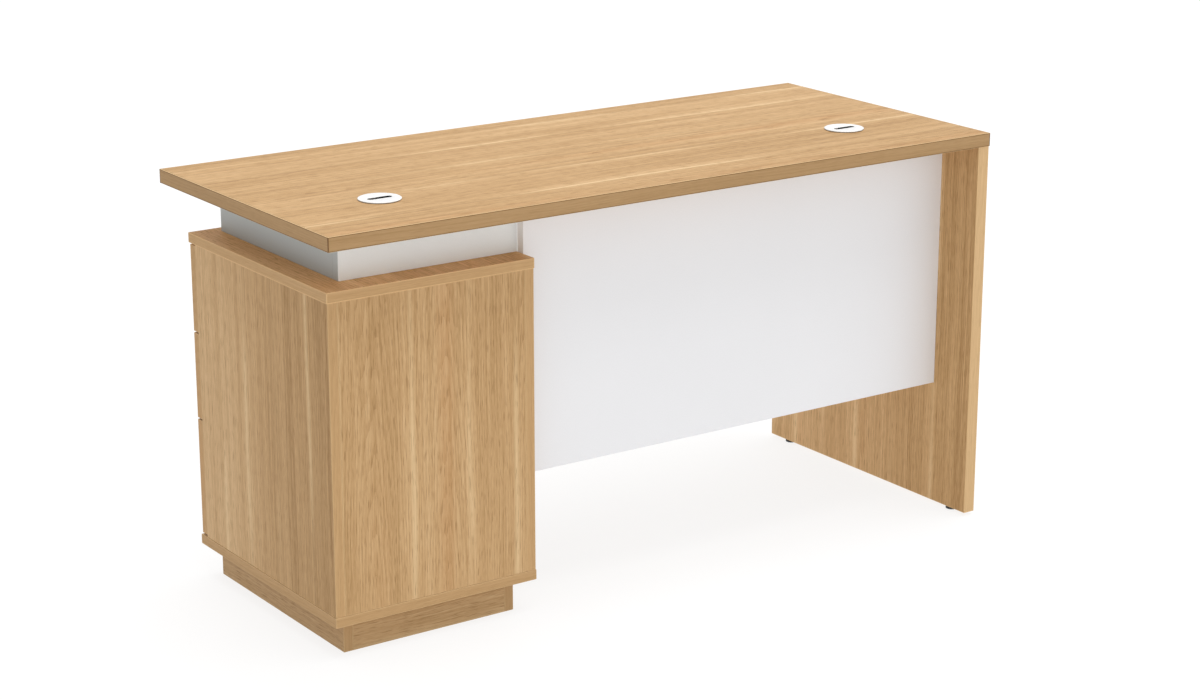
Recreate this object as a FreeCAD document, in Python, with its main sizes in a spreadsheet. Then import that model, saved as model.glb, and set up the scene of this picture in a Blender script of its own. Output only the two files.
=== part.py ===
import FreeCAD, Part
import os
from types import SimpleNamespace

import Sketcher

# Pedestal desk of laminated boards: a desktop carried at the left by a drawer pedestal with a riser on it,
# and at the right by an end panel on two glides, with a modesty panel between them.
# Millimetres. +X runs along the desktop to the end panel, +Y towards the user, +Z up from the floor,
# with the origin on the floor under the middle of the desktop.

SIZES = dict(
    # desktop
    desk_width=1400,
    desk_depth=600,
    desk_height=750,
    top_thickness=25,
    edging_thickness=2,
    arris=0.5,
    # end panel and its glides
    end_panel_thickness=25,
    end_panel_inset=1,
    end_panel_setback=1,
    glide_height=6,
    glide_inset=50,
    glide_foot_radius=11,
    glide_foot_height=5,
    glide_stud_radius=4,
    glide_stud_length=22,
    socket_wall=2.5,
    socket_length=25,
    turning_clearance=0.1,
    # modesty panel
    modesty_thickness=18,
    modesty_setback=100,
    modesty_height=480,
    # pedestal carcass
    pedestal_width=400,
    pedestal_left_inset=30,
    pedestal_visitor_inset=65,
    carcass_board=18,
    back_thickness=18,
    board_overhang=1,
    # plinth under the pedestal
    plinth_height=60,
    plinth_board=18,
    plinth_recess=30,
    plinth_user_recess=20,
    # riser between the pedestal and the desktop
    riser_height=85,
    riser_board=18,
    riser_left_recess=52,
    riser_depth=417,
    # drawers
    front_thickness=18,
    front_gap=3,
    front_setback=2,
    front_reveal=1,
    front_buffer=2,
    small_front_height=158,
    box_board=12,
    box_length=400,
    box_rear_room=56,
    box_rise=14,
    box_headroom=34,
    bottom_thickness=5,
    bottom_rise=10,
    groove_depth=5,
    groove_play=0.2,
    # drawer runners and their rollers
    runner_space=13,
    runner_sheet=1.2,
    runner_rise=2,
    runner_front_gap=2,
    channel_height=25,
    channel_lip=4,
    channel_roof=7,
    rail_foot=10,
    rail_roof_gap=1,
    rail_web_gap=0.8,
    roller_radius=9,
    roller_side_gap=1.2,
    roller_play=0.3,
    roller_end=14,
    axle_radius=2.5,
    axle_end=0.7,
    # bow handles
    handle_length=148,
    handle_projection=30,
    handle_bar=8,
    handle_foot=12,
    handle_height=14,
    handle_drop=50,
    handle_bevel=1.5,
    # lock of the upper drawer
    lock_inset=40,
    lock_drop=22,
    lock_body_radius=8,
    lock_flange_radius=10,
    lock_flange=2.5,
    plug_radius=5.5,
    plug_recess=0.3,
    key_slot_width=1.6,
    key_slot_height=7,
    key_slot_depth=12,
    tongue_tail=8,
    tongue_thickness=2,
    tongue_width=15,
    tongue_reach=33,
    tongue_gap=1,
    mortise_play=2,
    # cable grommets
    grommet_inset=200,
    grommet_setback=182,
    grommet_hole_radius=30,
    liner_wall=1.6,
    liner_depth=20,
    liner_flange_width=4,
    liner_flange=0.8,
    cap_radius=37,
    cap_thickness=1.6,
    cap_clearance=0.3,
    cap_seat_gap=0.1,
    cap_leg_length=8,
    cap_leg_width=14,
    cap_leg_thickness=1.5,
    cap_leg_inset=1,
    slot_length=45,
    slot_width=9,
)

doc = FreeCAD.newDocument("pedestal_desk")
sheet = doc.addObject("Spreadsheet::Sheet", "Sizes")
for row, (word, number) in enumerate(SIZES.items(), start=1):
    sheet.set(f"A{row}", word)
    sheet.set(f"B{row}", str(number))
    sheet.setAlias(f"B{row}", word)
doc.recompute()


class Size:
    """A length with its value and the sheet formula that gives it."""

    def __init__(self, value, formula):
        self.value = float(value)
        self.formula = formula

    @staticmethod
    def of(length):
        return length if isinstance(length, Size) else Size(length, f"({length})")

    def joined(self, sign, other, value):
        return Size(value, f"({self.formula} {sign} {other.formula})")

    def __add__(self, other):
        other = Size.of(other)
        return self.joined("+", other, self.value + other.value)

    def __sub__(self, other):
        other = Size.of(other)
        return self.joined("-", other, self.value - other.value)

    def __mul__(self, other):
        other = Size.of(other)
        return self.joined("*", other, self.value * other.value)

    def __truediv__(self, other):
        other = Size.of(other)
        return self.joined("/", other, self.value / other.value)

    def __rmul__(self, other):
        return Size.of(other) * self

    def __neg__(self):
        return Size.of(0) - self


s = SimpleNamespace(**{word: Size(number, f"Sizes.{word}") for word, number in SIZES.items()})
subparts = []
cuts = []


def bind(item, field, length):
    """Ties one property of an object to the sheet."""
    item.setExpression(field, Size.of(length).formula)


def place(item, x, y, z):
    """Ties an object's position to the sheet."""
    for axis, length in zip("xyz", (x, y, z)):
        bind(item, f"Placement.Base.{axis}", length)


def keep(item, label):
    """Names an object as a sub-part of the desk."""
    item.Label = label
    subparts.append(item)
    return item


def fix(sketch, corner, x, y):
    """Holds one sketch point, as (geometry, end), at a place measured from the sketch's origin."""
    for kind, length in (("DistanceX", Size.of(x)), ("DistanceY", Size.of(y))):
        index = sketch.addConstraint(Sketcher.Constraint(kind, -1, 1, *corner, length.value))
        sketch.setExpression(f"Constraints[{index}]", length.formula)


def new_sketch(body, role):
    """An empty sketch on one of the body's own origin planes."""
    sketch = body.newObject("Sketcher::SketchObject", body.Name + "_sketch")
    plane = next(item for item in body.Origin.OriginFeatures if item.Role == role)
    sketch.AttachmentSupport = [(plane, "")]
    sketch.MapMode = "FlatFace"
    return sketch


def outline(body, role, corners):
    """A closed outline of straight lines through the corners."""
    sketch = new_sketch(body, role)
    points = [FreeCAD.Vector(Size.of(x).value, Size.of(y).value, 0) for x, y in corners]
    count = len(points)
    for index in range(count):
        sketch.addGeometry(Part.LineSegment(points[index], points[(index + 1) % count]), False)
    for index in range(count):
        sketch.addConstraint(Sketcher.Constraint("Coincident", index, 2, (index + 1) % count, 1))
    for index, (x, y) in enumerate(corners):
        fix(sketch, (index, 1), x, y)
    return sketch


def pad(body, sketch, length, reverse=False):
    """Thickens a sketch along its normal, or against it."""
    feature = body.newObject("PartDesign::Pad", body.Name + "_pad")
    feature.Profile = sketch
    feature.Reversed = reverse
    bind(feature, "Length", length)
    doc.recompute()
    return feature


def new_body(name):
    return doc.addObject("PartDesign::Body", name)


def plain_board(name, corner, extent):
    """A square-edged board from its lowest corner and its extent along X, Y and Z."""
    body = new_body(name)
    wide, deep, high = extent
    pad(body, outline(body, "XY_Plane", [(0, 0), (wide, 0), (wide, deep), (0, deep)]), high)
    place(body, *corner)
    return body


def board(name, corner, extent):
    """A board whose arrises are all eased."""
    body = plain_board(name, corner, extent)
    slab = body.Tip
    ease = body.newObject("PartDesign::Chamfer", name + "_arris")
    ease.Base = (slab, [""])
    ease.UseAllEdges = True
    bind(ease, "Size", s.arris)
    return body


def revolved(name, role, axis, corners, at):
    """A turned piece: its half outline is swept once round a sketch axis."""
    body = new_body(name)
    sketch = outline(body, role, corners)
    turn = body.newObject("PartDesign::Revolution", name + "_turn")
    turn.Profile = sketch
    turn.ReferenceAxis = (sketch, [axis])
    turn.Angle = 360
    place(body, *at)
    return body


AIM = {
    "x": FreeCAD.Rotation(FreeCAD.Vector(0, 1, 0), 90),
    "y": FreeCAD.Rotation(FreeCAD.Vector(1, 0, 0), -90),
    "z": FreeCAD.Rotation(),
}


def rod(name, axis, start, radius, length):
    """A round bar from its start along an axis."""
    item = doc.addObject("Part::Cylinder", name)
    item.Placement = FreeCAD.Placement(FreeCAD.Vector(), AIM[axis])
    bind(item, "Radius", radius)
    bind(item, "Height", length)
    place(item, *start)
    return item


def block(name, corner, extent):
    """A box-shaped tool or blank."""
    item = doc.addObject("Part::Box", name)
    for field, length in zip(("Length", "Width", "Height"), extent):
        bind(item, field, length)
    place(item, *corner)
    return item


def fused(name, members):
    item = doc.addObject("Part::MultiFuse", name)
    item.Shapes = members
    return item


def grouped(name, members):
    """Separate solids that share one name."""
    item = doc.addObject("Part::Compound", name)
    item.Links = members
    return item


def cut(name, base, tools):
    """The base less its tools, which may be several."""
    item = doc.addObject("Part::Cut", name)
    item.Base = base
    item.Tool = tools[0] if len(tools) == 1 else grouped(name + "_tools", tools)
    cuts.append(item)
    return item


# Levels and faces that several pieces share
TOP_UNDERSIDE = s.desk_height - s.top_thickness
DESK_LEFT = -s.desk_width / 2
DESK_RIGHT = s.desk_width / 2
DESK_VISITOR = -s.desk_depth / 2
DESK_USER = s.desk_depth / 2

PEDESTAL_LEFT = DESK_LEFT + s.pedestal_left_inset
PEDESTAL_RIGHT = PEDESTAL_LEFT + s.pedestal_width
PEDESTAL_VISITOR = DESK_VISITOR + s.pedestal_visitor_inset
# The pedestal is as deep as its drawers, the room behind them, its back and its fronts
PEDESTAL_DEPTH = (
    s.board_overhang + s.back_thickness + s.box_rear_room + s.box_length + s.front_thickness + s.front_setback
)
PEDESTAL_USER = PEDESTAL_VISITOR + PEDESTAL_DEPTH
PEDESTAL_TOP = TOP_UNDERSIDE - s.riser_height
CARCASS_FLOOR = s.plinth_height + s.carcass_board
CARCASS_ROOF = PEDESTAL_TOP - s.carcass_board

SIDES_VISITOR = PEDESTAL_VISITOR + s.board_overhang
LEFT_SIDE_OUTER = PEDESTAL_LEFT + s.board_overhang
LEFT_SIDE_INNER = LEFT_SIDE_OUTER + s.carcass_board
RIGHT_SIDE_OUTER = PEDESTAL_RIGHT - s.board_overhang
RIGHT_SIDE_INNER = RIGHT_SIDE_OUTER - s.carcass_board

FRONT_FACE = PEDESTAL_USER - s.front_setback
FRONT_REAR = FRONT_FACE - s.front_thickness
SIDES_USER = FRONT_REAR - s.front_buffer

END_PANEL_OUTER = DESK_RIGHT - s.end_panel_inset
END_PANEL_INNER = END_PANEL_OUTER - s.end_panel_thickness
MODESTY_FACE = DESK_VISITOR + s.modesty_setback
MODESTY_REAR = MODESTY_FACE + s.modesty_thickness


def desktop():
    """The desktop's core, bored for the two grommets, and its four edging strips."""
    e = s.edging_thickness
    core_left = DESK_LEFT + e
    core_visitor = DESK_VISITOR + e
    core_width = s.desk_width - 2 * e
    core_depth = s.desk_depth - 2 * e
    tall = s.top_thickness
    core = plain_board("core", (core_left, core_visitor, TOP_UNDERSIDE), (core_width, core_depth, tall))
    bores = [
        rod(f"{side}_grommet_bore", "z", (x, GROMMET_Y, TOP_UNDERSIDE), s.grommet_hole_radius, tall)
        for side, x in GROMMETS
    ]
    keep(cut("bored_core", core, bores), "desktop")

    strips = [
        edging_strip("visitor_edging", "YZ_Plane", -1, s.desk_width, (DESK_LEFT, core_visitor)),
        edging_strip("user_edging", "YZ_Plane", 1, s.desk_width, (DESK_LEFT, DESK_USER - e)),
        edging_strip("left_edging", "XZ_Plane", -1, core_depth, (core_left, core_visitor)),
        edging_strip("right_edging", "XZ_Plane", 1, core_depth, (DESK_RIGHT - e, core_visitor)),
    ]
    keep(grouped("edging", strips), "desktop_edging")


def edging_strip(name, role, outward, length, corner):
    """A glued strip whose two outer arrises are eased; outward is +1 or -1 along its thickness."""
    body = new_body(name)
    thick = s.edging_thickness
    tall = s.top_thickness
    section = [
        (0, 0),
        (outward * (thick - s.arris), 0),
        (outward * thick, s.arris),
        (outward * thick, tall - s.arris),
        (outward * (thick - s.arris), tall),
        (0, tall),
    ]
    # A sketch on the XZ plane faces -Y, so its pad is turned round to run along +Y
    pad(body, outline(body, role, section), length, reverse=role == "XZ_Plane")
    place(body, *corner, TOP_UNDERSIDE)
    return body


GROMMETS = (("left", DESK_LEFT + s.grommet_inset), ("right", DESK_RIGHT - s.grommet_inset))
GROMMET_Y = DESK_VISITOR + s.grommet_setback
LINER_BORE = s.grommet_hole_radius - s.liner_wall


def grommet_liners():
    """The two flanged liners that are pressed into the desktop."""
    sleeve = s.grommet_hole_radius
    flange = sleeve + s.liner_flange_width
    liners = [
        revolved(f"{side}_liner", "XZ_Plane", "V_Axis", [
            (LINER_BORE, -s.liner_depth),
            (sleeve, -s.liner_depth),
            (sleeve, 0),
            (flange, 0),
            (flange, s.liner_flange),
            (LINER_BORE, s.liner_flange),
        ], (x, GROMMET_Y, s.desk_height))
        for side, x in GROMMETS
    ]
    keep(grouped("liners", liners), "grommet_liners")


def grommet_cap(side, x):
    """A slotted cap that lies over its liner and grips it by two legs."""
    low = s.desk_height + s.liner_flange + s.cap_seat_gap
    tall = s.cap_thickness
    plate = rod(f"{side}_cap_plate", "z", (x, GROMMET_Y, low), s.cap_radius, tall)
    leg_reach = LINER_BORE - s.cap_clearance - s.cap_leg_inset
    legs = [
        block(
            f"{side}_cap_{end}_leg",
            (x - s.cap_leg_width / 2, y, low - s.cap_leg_length),
            (s.cap_leg_width, s.cap_leg_thickness, s.cap_leg_length),
        )
        for end, y in (
            ("visitor", GROMMET_Y - leg_reach),
            ("user", GROMMET_Y + leg_reach - s.cap_leg_thickness),
        )
    ]
    end = s.slot_width / 2
    straight = s.slot_length - s.slot_width
    slot = fused(f"{side}_slot", [
        block(f"{side}_slot_run", (x - straight / 2, GROMMET_Y - end, low), (straight, s.slot_width, tall)),
        rod(f"{side}_slot_start", "z", (x - straight / 2, GROMMET_Y, low), end, tall),
        rod(f"{side}_slot_finish", "z", (x + straight / 2, GROMMET_Y, low), end, tall),
    ])
    keep(cut(f"{side}_cap", fused(f"{side}_cap_blank", [plate] + legs), [slot]), f"{side}_grommet_cap")


def end_panel():
    """The right-hand support, its two threaded sockets and the glides that turn in them."""
    low = s.glide_height
    visitor = DESK_VISITOR + s.end_panel_setback
    deep = s.desk_depth - 2 * s.end_panel_setback
    thick = s.end_panel_thickness
    panel = board("panel", (END_PANEL_INNER, visitor, low), (thick, deep, TOP_UNDERSIDE - low))
    middle = END_PANEL_INNER + thick / 2
    places = (("visitor", visitor + s.glide_inset), ("user", visitor + deep - s.glide_inset))
    bore = s.glide_stud_radius + s.turning_clearance
    outer = bore + s.socket_wall
    holes = [rod(f"{end}_socket_hole", "z", (middle, y, low), outer, s.socket_length) for end, y in places]
    keep(cut("bored_panel", panel, holes), "end_panel")

    sockets = [
        revolved(f"{end}_socket", "XZ_Plane", "V_Axis", [
            (bore, 0), (outer, 0), (outer, s.socket_length), (bore, s.socket_length),
        ], (middle, y, low))
        for end, y in places
    ]
    keep(grouped("sockets", sockets), "glide_sockets")
    for end, y in places:
        keep(glide(f"{end}_glide_turned", (middle, y, 0)), f"{end}_glide")


def glide(name, at):
    """A levelling glide: a round foot on a stud."""
    foot = s.glide_foot_radius
    return revolved(name, "XZ_Plane", "V_Axis", [
        (0, 0),
        (foot, 0),
        (foot, s.glide_foot_height),
        (s.glide_stud_radius, s.glide_foot_height),
        (s.glide_stud_radius, s.glide_foot_height + s.glide_stud_length),
        (0, s.glide_foot_height + s.glide_stud_length),
    ], at)


def modesty_panel():
    keep(board(
        "modesty",
        (PEDESTAL_RIGHT, MODESTY_FACE, TOP_UNDERSIDE - s.modesty_height),
        (END_PANEL_INNER - PEDESTAL_RIGHT, s.modesty_thickness, s.modesty_height),
    ), "modesty_panel")


def riser():
    """Three boards on the pedestal that carry the desktop; the side towards the user is open."""
    left = PEDESTAL_LEFT + s.riser_left_recess
    right = PEDESTAL_RIGHT
    thick = s.riser_board
    keep(board(
        "riser_visitor", (left, MODESTY_REAR, PEDESTAL_TOP), (right - left, thick, s.riser_height),
    ), "riser_visitor_board")
    for side, x in (("left", left), ("right", right - thick)):
        keep(board(
            f"riser_{side}",
            (x, MODESTY_REAR + thick, PEDESTAL_TOP),
            (thick, s.riser_depth - thick, s.riser_height),
        ), f"riser_{side}_board")


def pedestal():
    """Carcass: top and bottom boards lie over the ends of the sides, and the back is let in between them."""
    thick = s.carcass_board
    high = CARCASS_ROOF - CARCASS_FLOOR
    plan = (s.pedestal_width, PEDESTAL_DEPTH, thick)
    lid = board("lid", (PEDESTAL_LEFT, PEDESTAL_VISITOR, CARCASS_ROOF), plan)
    keep(cut("mortised_lid", lid, [lock_mortise()]), "pedestal_top")
    keep(board("floor", (PEDESTAL_LEFT, PEDESTAL_VISITOR, s.plinth_height), plan), "pedestal_bottom")
    for side, x in (("left", LEFT_SIDE_OUTER), ("right", RIGHT_SIDE_INNER)):
        keep(board(
            f"carcass_{side}", (x, SIDES_VISITOR, CARCASS_FLOOR), (thick, SIDES_USER - SIDES_VISITOR, high),
        ), f"pedestal_{side}_side")
    keep(board(
        "carcass_back",
        (LEFT_SIDE_INNER, SIDES_VISITOR, CARCASS_FLOOR),
        (RIGHT_SIDE_INNER - LEFT_SIDE_INNER, s.back_thickness, high),
    ), "pedestal_back")


def plinth():
    """Four boards on edge: the left and right ones run the full depth, with the others between them."""
    thick = s.plinth_board
    left = PEDESTAL_LEFT + s.plinth_recess
    right = PEDESTAL_RIGHT - s.plinth_recess
    visitor = PEDESTAL_VISITOR + s.plinth_recess
    user = PEDESTAL_USER - s.plinth_user_recess
    for side, x in (("left", left), ("right", right - thick)):
        keep(board(
            f"plinth_{side}", (x, visitor, 0), (thick, user - visitor, s.plinth_height),
        ), f"plinth_{side}_board")
    for side, y in (("visitor", visitor), ("user", user - thick)):
        keep(board(
            f"plinth_{side}", (left + thick, y, 0), (right - left - 2 * thick, thick, s.plinth_height),
        ), f"plinth_{side}_board")


# Drawers, from the top of the carcass downwards: name, lower and upper edge of the front
FRONT_LEFT = LEFT_SIDE_OUTER + s.front_reveal
FRONT_RIGHT = RIGHT_SIDE_OUTER - s.front_reveal
UPPER_TOP = CARCASS_ROOF - s.front_gap
MIDDLE_TOP = UPPER_TOP - s.small_front_height - s.front_gap
LOWER_TOP = MIDDLE_TOP - s.small_front_height - s.front_gap
DRAWERS = (
    ("upper", UPPER_TOP - s.small_front_height, UPPER_TOP),
    ("middle", MIDDLE_TOP - s.small_front_height, MIDDLE_TOP),
    ("lower", CARCASS_FLOOR + s.front_gap, LOWER_TOP),
)
BOX_LEFT = LEFT_SIDE_INNER + s.runner_space
BOX_RIGHT = RIGHT_SIDE_INNER - s.runner_space
BOX_REAR = FRONT_REAR - s.box_length

# Lock of the upper drawer
LOCK_X = FRONT_RIGHT - s.lock_inset
LOCK_Z = UPPER_TOP - s.lock_drop
TONGUE_FACE = FRONT_REAR - s.tongue_gap


def lock_mortise():
    """The hollow in the pedestal's top board that takes the tongue as it swings up."""
    left = LOCK_X - s.tongue_reach
    right = LOCK_X + s.tongue_width / 2 + s.mortise_play
    rear = TONGUE_FACE - s.tongue_thickness - s.mortise_play
    deep = s.tongue_thickness + 2 * s.mortise_play
    high = LOCK_Z + s.tongue_reach + s.mortise_play - CARCASS_ROOF
    return block("mortise", (left, rear, CARCASS_ROOF), (right - left, deep, high))


def lock():
    """Cam lock: a housing through the drawer front, a key plug that turns in it, and its tongue."""
    bore = s.plug_radius + s.turning_clearance
    keep(revolved("lock_shell", "XY_Plane", "V_Axis", [
        (bore, -s.front_thickness),
        (s.lock_body_radius, -s.front_thickness),
        (s.lock_body_radius, 0),
        (s.lock_flange_radius, 0),
        (s.lock_flange_radius, s.lock_flange),
        (bore, s.lock_flange),
    ], (LOCK_X, FRONT_FACE, LOCK_Z)), "lock_housing")

    tail = TONGUE_FACE - s.tongue_thickness
    nose = FRONT_FACE + s.lock_flange - s.plug_recess
    barrel = rod("lock_barrel", "y", (LOCK_X, tail, LOCK_Z), s.plug_radius, nose - tail)
    key_slot = block(
        "key_slot",
        (LOCK_X - s.key_slot_height / 2, nose - s.key_slot_depth, LOCK_Z - s.key_slot_width / 2),
        (s.key_slot_height, s.key_slot_depth, s.key_slot_width),
    )
    keep(cut("lock_slotted", barrel, [key_slot]), "lock_plug")

    plate = block(
        "lock_plate",
        (LOCK_X - s.tongue_reach, tail, LOCK_Z - s.tongue_width / 2),
        (s.tongue_reach + s.tongue_tail, s.tongue_thickness, s.tongue_width),
    )
    hub_hole = rod("lock_hub_hole", "y", (LOCK_X, tail, LOCK_Z), s.plug_radius, s.tongue_thickness)
    keep(cut("lock_tongue_plate", plate, [hub_hole]), "lock_tongue")


def drawer(name, low, top):
    """A drawer's front, box and handle; low and top are its front's lower and upper edges."""
    box_low = low + s.box_rise
    box_high = top - s.box_headroom - box_low
    floor = box_low + s.bottom_rise
    groove_low = floor - s.groove_play / 2
    groove_high = s.bottom_thickness + s.groove_play
    inner_left = BOX_LEFT + s.box_board
    inner_right = BOX_RIGHT - s.box_board

    thick = s.front_thickness
    face = board(f"{name}_face", (FRONT_LEFT, FRONT_REAR, low), (FRONT_RIGHT - FRONT_LEFT, thick, top - low))
    panel_left = inner_left - s.groove_depth
    panel_right = inner_right + s.groove_depth
    tools = [block(
        f"{name}_front_groove", (panel_left, FRONT_REAR, groove_low),
        (panel_right - panel_left, s.groove_depth, groove_high),
    )]
    if name == "upper":
        tools.append(rod("lock_hole", "y", (LOCK_X, FRONT_REAR, LOCK_Z), s.lock_body_radius, thick))
    keep(cut(f"{name}_cut_face", face, tools), f"{name}_drawer_front")

    for side, x, groove_x in (
        ("left", BOX_LEFT, panel_left),
        ("right", inner_right, inner_right),
    ):
        plank = board(f"{name}_{side}_plank", (x, BOX_REAR, box_low), (s.box_board, s.box_length, box_high))
        groove = block(
            f"{name}_{side}_groove", (groove_x, BOX_REAR, groove_low),
            (s.groove_depth, s.box_length, groove_high),
        )
        keep(cut(f"{name}_{side}_cut", plank, [groove]), f"{name}_drawer_{side}_side")

    back_low = floor + s.bottom_thickness
    keep(board(
        f"{name}_rear", (inner_left, BOX_REAR, back_low),
        (inner_right - inner_left, s.box_board, box_low + box_high - back_low),
    ), f"{name}_drawer_back")
    keep(plain_board(
        f"{name}_floor", (panel_left + s.groove_play, BOX_REAR, floor),
        (
            panel_right - panel_left - 2 * s.groove_play,
            s.box_length + s.groove_depth - s.groove_play,
            s.bottom_thickness,
        ),
    ), f"{name}_drawer_bottom")
    keep(handle(f"{name}_bow", top - s.handle_drop), f"{name}_drawer_handle")
    runners(name, box_low)


def handle(name, height):
    """A bow handle: two arcs in plan, thickened upwards, with its outer edges bevelled and flat feet."""
    body = new_body(name)
    sketch = new_sketch(body, "XY_Plane")
    outer = s.handle_length / 2
    inner = outer - s.handle_foot
    rise = s.handle_projection
    inner_rise = rise - s.handle_bar
    arcs = ((outer, rise), (inner, inner_rise))
    for half, peak in arcs:
        ends = [FreeCAD.Vector(sign * half.value, 0, 0) for sign in (-1, 1)]
        sketch.addGeometry(Part.Arc(ends[0], FreeCAD.Vector(0, peak.value, 0), ends[1]), False)
    for sign in (-1, 1):
        feet = [FreeCAD.Vector(sign * half.value, 0, 0) for half in (outer, inner)]
        sketch.addGeometry(Part.LineSegment(*feet), False)
    # The arcs are drawn anticlockwise, so each one starts at its right-hand end
    for arc in (0, 1):
        for line, arc_end in ((2, 2), (3, 1)):
            sketch.addConstraint(Sketcher.Constraint("Coincident", arc, arc_end, line, arc + 1))
    for arc, (half, peak) in enumerate(arcs):
        fix(sketch, (arc, 1), half, 0)
        fix(sketch, (arc, 2), -half, 0)
        radius = (half * half + peak * peak) / (2 * peak)
        index = sketch.addConstraint(Sketcher.Constraint("Radius", arc, radius.value))
        sketch.setExpression(f"Constraints[{index}]", radius.formula)
    bow = pad(body, sketch, s.handle_height)
    edges = [
        f"Edge{number}" for number, edge in enumerate(bow.Shape.Edges, start=1)
        if edge.CenterOfMass.y > bow.Shape.BoundBox.YMin + bow.Shape.BoundBox.YLength / 2
    ]
    bevel = body.newObject("PartDesign::Chamfer", name + "_bevel")
    bevel.Base = (bow, edges)
    bind(bevel, "Size", s.handle_bevel)
    place(body, (FRONT_LEFT + FRONT_RIGHT) / 2, FRONT_FACE, height - s.handle_height / 2)
    return body


def runners(name, box_low):
    """A pair of roller runners: channels on the carcass sides, rails under the box, a roller on each."""
    t = s.runner_sheet
    channel_low = box_low + s.runner_rise
    channel_front = SIDES_USER - s.runner_front_gap
    rail_front = FRONT_REAR - s.runner_front_gap
    channel_floor = s.runner_space - t - s.rail_web_gap
    rail_high = s.runner_rise + s.channel_height - t - s.rail_roof_gap
    roller_near = t + s.roller_side_gap
    roller_far = channel_floor - t - s.roller_side_gap
    roller_width = roller_far - roller_near

    channel_axle = (channel_front - s.roller_end, box_low + rail_high - t - s.roller_play - s.roller_radius)
    rail_axle = (
        BOX_REAR + s.roller_end,
        channel_low + t + s.roller_play + s.roller_radius,
    )

    members = {"cabinet_runners": [], "cabinet_rollers": [], "drawer_runners": [], "drawer_rollers": []}
    # inward is the way from a carcass side to the drawer
    for side, wall, box_side, inward in (
        ("left", LEFT_SIDE_INNER, BOX_LEFT, 1),
        ("right", RIGHT_SIDE_INNER, BOX_RIGHT, -1),
    ):
        tag = f"{name}_{side}"
        channel = formed_sheet(f"{tag}_channel", [
            (0, 0),
            (channel_floor, 0),
            (channel_floor, s.channel_lip),
            (channel_floor - t, s.channel_lip),
            (channel_floor - t, t),
            (t, t),
            (t, s.channel_height - t),
            (s.channel_roof, s.channel_height - t),
            (s.channel_roof, s.channel_height),
            (0, s.channel_height),
        ], inward, (wall, channel_front, channel_low))
        axle = axle_pin(f"{tag}_channel_axle", wall, inward, roller_far, channel_axle)
        members["cabinet_runners"].append(fused(f"{tag}_cabinet_runner", [channel, axle]))

        rail = formed_sheet(f"{tag}_rail", [
            (-s.rail_foot, -t),
            (t, -t),
            (t, rail_high - t),
            (channel_floor, rail_high - t),
            (channel_floor, rail_high),
            (0, rail_high),
            (0, 0),
            (-s.rail_foot, 0),
        ], -inward, (box_side, rail_front, box_low))
        axle = axle_pin(f"{tag}_rail_axle", box_side, -inward, s.runner_space - roller_near, rail_axle)
        members["drawer_runners"].append(fused(f"{tag}_drawer_runner", [rail, axle]))

        for kind, (y, z) in (("cabinet_rollers", channel_axle), ("drawer_rollers", rail_axle)):
            near = wall + inward * (roller_near + roller_width / 2)
            members[kind].append(roller(f"{tag}_{kind}", roller_width, (near, y, z)))
    for kind, pair in members.items():
        keep(grouped(f"{name}_{kind}_pair", pair), f"{name}_{kind}")


def formed_sheet(name, section, outward, at):
    """A bent-sheet section, drawn away from the board that carries it, run back along -Y."""
    body = new_body(name)
    corners = [(outward * Size.of(x), z) for x, z in section]
    pad(body, outline(body, "XZ_Plane", corners), s.box_length - s.runner_front_gap)
    place(body, *at)
    return body


def axle_pin(name, foot, outward, reach, centre):
    """A riveted axle; reach runs from its foot to the far face of the roller."""
    y, z = centre
    length = reach + s.axle_end
    low = foot if outward > 0 else foot - length
    return rod(name, "x", (low, y, z), s.axle_radius, length)


def roller(name, width, at):
    """A nylon roller, bored to turn on its axle."""
    bore = s.axle_radius + s.turning_clearance
    half = width / 2
    return revolved(name, "XY_Plane", "H_Axis", [
        (-half, bore), (half, bore), (half, s.roller_radius), (-half, s.roller_radius),
    ], at)


def check_and_write():
    """Stops on any failed object, empty cut or bad solid, and then writes each sub-part."""
    doc.recompute()
    failed = [item.Label for item in doc.Objects if {"Invalid", "Error"} & set(item.State)]
    if failed:
        raise RuntimeError(f"failed objects: {failed}")
    for item in cuts:
        if item.Shape.Volume >= item.Base.Shape.Volume:
            raise RuntimeError(f"{item.Label} cuts nothing")
    os.makedirs("parts", exist_ok=True)
    for item in subparts:
        if item.Shape.isNull() or not item.Shape.isValid() or not item.Shape.Solids:
            raise RuntimeError(f"{item.Label} has no valid shape")
    for item in subparts:
        item.Shape.exportStep(f"parts/{item.Label}.step")
    print(f"{len(subparts)} sub-parts written")


desktop()
grommet_liners()
for cap_side, cap_x in GROMMETS:
    grommet_cap(cap_side, cap_x)
end_panel()
modesty_panel()
riser()
pedestal()
plinth()
for drawer_name, drawer_low, drawer_top in DRAWERS:
    drawer(drawer_name, drawer_low, drawer_top)
lock()
check_and_write()
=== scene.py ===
import math

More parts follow.
